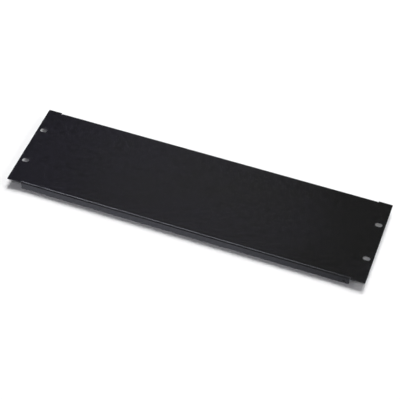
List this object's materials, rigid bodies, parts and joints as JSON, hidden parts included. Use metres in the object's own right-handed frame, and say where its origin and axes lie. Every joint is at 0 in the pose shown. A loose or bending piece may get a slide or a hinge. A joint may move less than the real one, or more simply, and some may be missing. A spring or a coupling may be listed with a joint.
{
  "type": "rack blanking panel",
  "caption": "Folded sheet-steel panel that closes an unused space in an equipment rack, with slotted mounting ears and a shallow flange folded back along each long edge.",
  "frame": {"origin": "middle of the footprint, on the surface that the free edges of the flanges lie on", "axes": "+Z out of the front face, +X across the rack towards the end with the small flange hole, +Y up the rack"},
  "size_m": [0.4826, 0.1326, 0.012],
  "materials": {
    "powder_coat": "fine-textured matt black powder coat on steel"
  },
  "bodies": {
    "root": {"blanking_panel": "powder_coat"}
  },
  "joints": []
}
